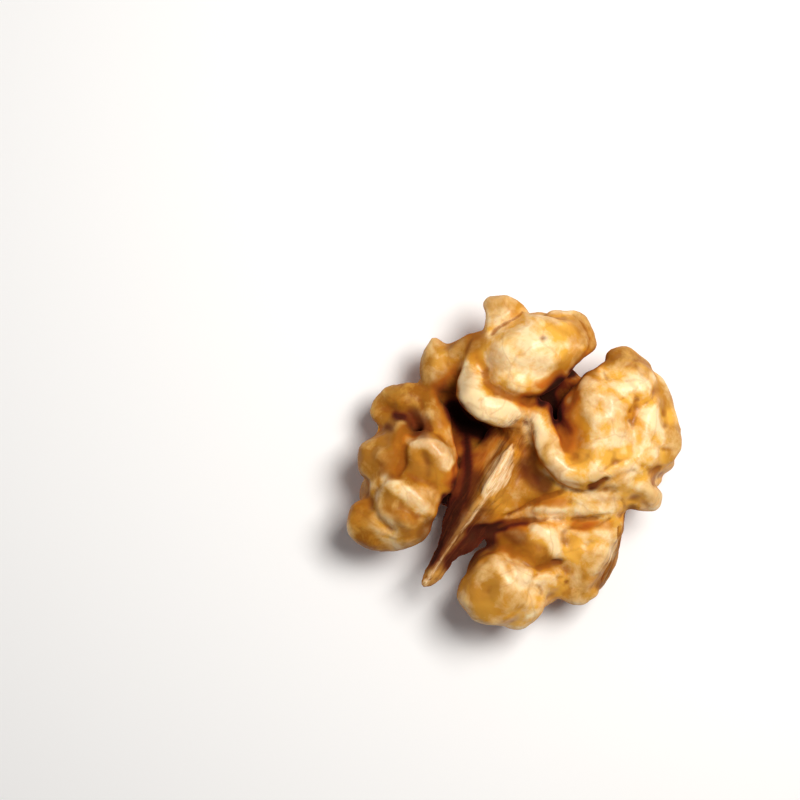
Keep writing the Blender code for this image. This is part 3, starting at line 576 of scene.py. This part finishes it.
def skin_material():
    """Layers of colour from the stored values, then the gloss and a fine grain.

    Scales count noise cells in a metre, so 420 gives patches about 2 mm across. Scales on fibre_place count
    them in a millimetre.
    """
    skin = bpy.data.materials.new("walnut_skin")
    skin.use_nodes = True
    tree = skin.node_tree
    shader = tree.nodes["Principled BSDF"]
    shader.inputs["Subsurface Weight"].default_value = 0.25
    shader.inputs["Subsurface Radius"].default_value = (1.0, 0.45, 0.18)
    shader.inputs["Subsurface Scale"].default_value = 0.0012
    shader.inputs["Specular IOR Level"].default_value = 0.12
    shader.inputs["Coat Roughness"].default_value = 0.25

    def node(kind, **settings):
        made = tree.nodes.new(kind)
        for name, value in settings.items():
            setattr(made, name, value)
        return made

    def attribute(name, output="Fac"):
        return node("ShaderNodeAttribute", attribute_name=name).outputs[output]

    def weighed(value, share, other):
        made = node("ShaderNodeMath", operation="MULTIPLY_ADD")
        tree.links.new(value, made.inputs[0])
        made.inputs[1].default_value = share
        tree.links.new(other, made.inputs[2])
        return made.outputs[0]

    def mixed(factor, below, above, mode="MIX"):
        mix = node("ShaderNodeMix", data_type="RGBA", blend_type=mode)
        for socket, value in ((mix.inputs[0], factor), (mix.inputs[6], below), (mix.inputs[7], above)):
            if isinstance(value, bpy.types.NodeSocket):
                tree.links.new(value, socket)
            else:
                socket.default_value = value
        return mix.outputs[2]

    def ramp(value, *stops):
        made = node("ShaderNodeValToRGB")
        bar = made.color_ramp.elements
        while len(bar) < len(stops):
            bar.new(0.5)
        for stop, (place, colour) in zip(bar, stops):
            stop.position = place
            stop.color = colour if isinstance(colour, tuple) else (colour, colour, colour, 1)
        tree.links.new(value, made.inputs[0])
        return made.outputs[0]

    def noise(scale, detail=3.0, roughness=0.5, distortion=0.0, vector=None):
        made = node("ShaderNodeTexNoise")
        made.inputs["Scale"].default_value = scale
        made.inputs["Detail"].default_value = detail
        made.inputs["Roughness"].default_value = roughness
        made.inputs["Distortion"].default_value = distortion
        tree.links.new(vector or place, made.inputs["Vector"])
        return made

    place = node("ShaderNodeTexCoord").outputs["Object"]
    # Painted shade: open skin is gold, and shut-in skin goes through orange to a dark red-brown.
    sky = attribute("open")
    shaded_gold = ramp(
        sky,
        (0.12, (0.03, 0.006, 0.002, 1)),
        (0.30, (0.19, 0.028, 0.006, 1)),
        (0.46, (0.48, 0.118, 0.010, 1)),
        (0.66, (0.66, 0.27, 0.018, 1)),
        (0.92, (0.80, 0.41, 0.056, 1)),
    )
    # Cream patches a millimetre or two across, most of them on the crowns of the folds: partly the skin's
    # own cream, partly painted highlight on open crowns that face up.
    blotches_and_crown_light = weighed(attribute("crown"), 0.22, noise(420, 5, 0.62, 0.3).outputs[0])
    cream_and_light_patch = ramp(weighed(attribute("worn_and_lit"), 0.2, blotches_and_crown_light), (0.52, 0.0), (0.74, 1.0))
    opened = ramp(sky, (0.5, 0.0), (0.85, 1.0))
    # Tanned places and painted shade: darker gold where the skin is tanned, and where shade is painted on
    # sides turned from the light.
    tan_and_shade = attribute("tan_and_shade")
    cream = mixed(tan_and_shade, (0.93, 0.70, 0.39, 1), (0.60, 0.31, 0.05, 1))
    tanned_and_shaded = mixed(tan_and_shade, shaded_gold, (0.31, 0.105, 0.006, 1))
    colour = mixed(mixed(1.0, cream_and_light_patch, opened, "MULTIPLY"), tanned_and_shaded, cream)
    # Browner patches, a few millimetres across.
    rust = ramp(noise(240, 5, 0.6, 0.3).outputs[0], (0.50, 0.0), (0.70, 0.7))
    colour = mixed(rust, colour, (0.56, 0.22, 0.016, 1))
    # Painted shade: the hollows turn red-brown.
    hollow_shade = ramp(attribute("fold"), (0.2, 0.0), (1.0, 0.75))
    colour = mixed(hollow_shade, colour, (0.28, 0.075, 0.005, 1))
    # Faint veins run and branch over the skin: the edges of warped cells.
    warp = node("ShaderNodeMix", data_type="RGBA", blend_type="ADD")
    warp.inputs[0].default_value = 0.004
    tree.links.new(place, warp.inputs[6])
    tree.links.new(noise(200, 5).outputs["Color"], warp.inputs[7])
    cells = node("ShaderNodeTexVoronoi", feature="DISTANCE_TO_EDGE")
    cells.inputs["Scale"].default_value = 260
    tree.links.new(warp.outputs[2], cells.inputs["Vector"])
    veins = ramp(cells.outputs["Distance"], (0.0, 0.22), (0.05, 0.0))
    colour = mixed(veins, colour, (0.38, 0.12, 0.015, 1))
    # Stains, and painted shade near black in the deep gaps and holes.
    stain_and_shade = attribute("stain_and_shade")
    pitch = ramp(stain_and_shade, (0.8, (0.10, 0.011, 0.005, 1)), (1.0, (0.018, 0.003, 0.002, 1)))
    colour = mixed(ramp(stain_and_shade, (0.0, 0.0), (0.85, 0.97)), colour, pitch)
    # Painted shade: the creases turn red-brown.
    colour = mixed(ramp(attribute("crease"), (0.1, 0.0), (0.9, 0.75)), colour, (0.27, 0.065, 0.005, 1))
    # Fibres run down the germ and along the torn edge, light and dark side by side.
    fibre_noise = noise(2.2, 4, 0.6, 0.4, attribute("fibre_place", "Vector")).outputs[0]
    fibrous = attribute("fibrous")
    dark_fibre = mixed(1.0, ramp(fibre_noise, (0.30, 0.7), (0.50, 0.0)), fibrous, "MULTIPLY")
    colour = mixed(dark_fibre, colour, mixed(stain_and_shade, (0.16, 0.03, 0.006, 1), (0.05, 0.006, 0.003, 1)))
    pale_fibre = mixed(1.0, ramp(fibre_noise, (0.52, 0.0), (0.72, 0.5)), fibrous, "MULTIPLY")
    colour = mixed(pale_fibre, colour, mixed(stain_and_shade, (0.62, 0.27, 0.06, 1), (0.20, 0.032, 0.010, 1)))
    torn = ramp(weighed(attribute("bare"), 0.55, fibre_noise), (0.62, 0.0), (1.0, 1.0))
    bare = mixed(1.0, torn, ramp(attribute("bare"), (0.0, 0.0), (0.25, 1.0)), "MULTIPLY")
    thread_noise = noise(5.0, 3, 0.6, 0.2, attribute("fibre_place", "Vector")).outputs[0]
    threads = ramp(thread_noise, (0.35, 0.0), (0.6, 1.0))
    colour = mixed(bare, colour, mixed(threads, (0.68, 0.36, 0.12, 1), (0.93, 0.70, 0.42, 1)))
    tree.links.new(colour, shader.inputs["Base Color"])
    # The gloss is broken by the skin's fine grain.
    gloss = ramp(noise(1400, 3, 0.6).outputs[0], (0.3, 0.36), (0.75, 0.55))
    dull = ramp(sky, (0.4, 0.5), (0.85, 0.0))
    stain_and_shade_rough = ramp(stain_and_shade, (0.0, 0.0), (0.7, 0.5))
    creased = ramp(attribute("crease"), (0.0, 0.0), (0.4, 0.4))
    rough = mixed(1.0, stain_and_shade_rough, creased, "ADD")
    tree.links.new(mixed(1.0, mixed(1.0, gloss, dull, "ADD"), rough, "ADD"), shader.inputs["Roughness"])
    dry = mixed(stain_and_shade, ramp(attribute("crease"), (0.0, 1.0), (0.3, 0.1)), (0.0, 0.0, 0.0, 1))
    dry = mixed(tan_and_shade, dry, (0.2, 0.2, 0.2, 1))
    oily = mixed(1.0, ramp(sky, (0.5, 0.0), (0.9, 0.4)), dry, "MULTIPLY")
    tree.links.new(oily, shader.inputs["Coat Weight"])
    grain = node("ShaderNodeBump")
    grain.inputs["Strength"].default_value = 0.45
    grain.inputs["Distance"].default_value = 0.0001
    tree.links.new(noise(1500, 5, 0.6, 0.3).outputs[0], grain.inputs["Height"])
    sunk = node("ShaderNodeBump", invert=True)
    sunk.inputs["Strength"].default_value = 0.08
    sunk.inputs["Distance"].default_value = 0.00012
    tree.links.new(veins, sunk.inputs["Height"])
    tree.links.new(grain.outputs[0], sunk.inputs["Normal"])
    tree.links.new(sunk.outputs[0], shader.inputs["Normal"])
    return skin


mark_skin(kernel, crease_depth)
kernel.data.materials.append(skin_material())

# The table and the light
# A plain white table under one large soft light from the upper right of the view, with a weak light from
# the left and a pale sky to fill the shadows.
TABLE = 1.0  # half width, m
TABLE_COLOUR = (0.93, 0.93, 0.94, 1)
TABLE_ROUGHNESS = 0.6
AIM_HEIGHT = 8.0  # mm
SKY_STRENGTH = 0.12


def table_top():
    """One flat square at height 0, under the middle of the kernel."""
    mesh = bpy.data.meshes.new("table")
    corners = [(-TABLE, -TABLE, 0), (TABLE, -TABLE, 0), (TABLE, TABLE, 0), (-TABLE, TABLE, 0)]
    mesh.from_pydata(corners, [], [(0, 1, 2, 3)])
    top = bpy.data.objects.new("table", mesh)
    bpy.context.scene.collection.objects.link(top)
    paint = bpy.data.materials.new("white_table")
    paint.use_nodes = True
    paint.node_tree.nodes["Principled BSDF"].inputs["Base Color"].default_value = TABLE_COLOUR
    paint.node_tree.nodes["Principled BSDF"].inputs["Roughness"].default_value = TABLE_ROUGHNESS
    mesh.materials.append(paint)
    return top


def soft_light(name, x, y, height, size, power, colour):
    """A square light at (x, y) as seen, in mm, aimed at the kernel."""
    lamp = bpy.data.lights.new(name, "AREA")
    lamp.size = size * MM
    lamp.energy = power
    lamp.color = colour
    light = bpy.data.objects.new(name, lamp)
    light.location = (*(laid((x, y)) * MM), height * MM)
    aim = Vector((0, 0, AIM_HEIGHT * MM)) - light.location
    light.rotation_euler = aim.to_track_quat("-Z", "Y").to_euler()
    bpy.context.scene.collection.objects.link(light)


table_top()
soft_light("key", 65, 55, 200, 90, 0.54, (1.0, 0.97, 0.92))
soft_light("fill", -150, 40, 150, 160, 0.045, (0.95, 0.97, 1.0))

pale_sky = bpy.data.worlds.new("sky")
pale_sky.use_nodes = True
pale_sky.node_tree.nodes["Background"].inputs["Color"].default_value = (1, 1, 1, 1)
pale_sky.node_tree.nodes["Background"].inputs["Strength"].default_value = SKY_STRENGTH
bpy.context.scene.world = pale_sky
bpy.context.scene.view_settings.view_transform = "Standard"
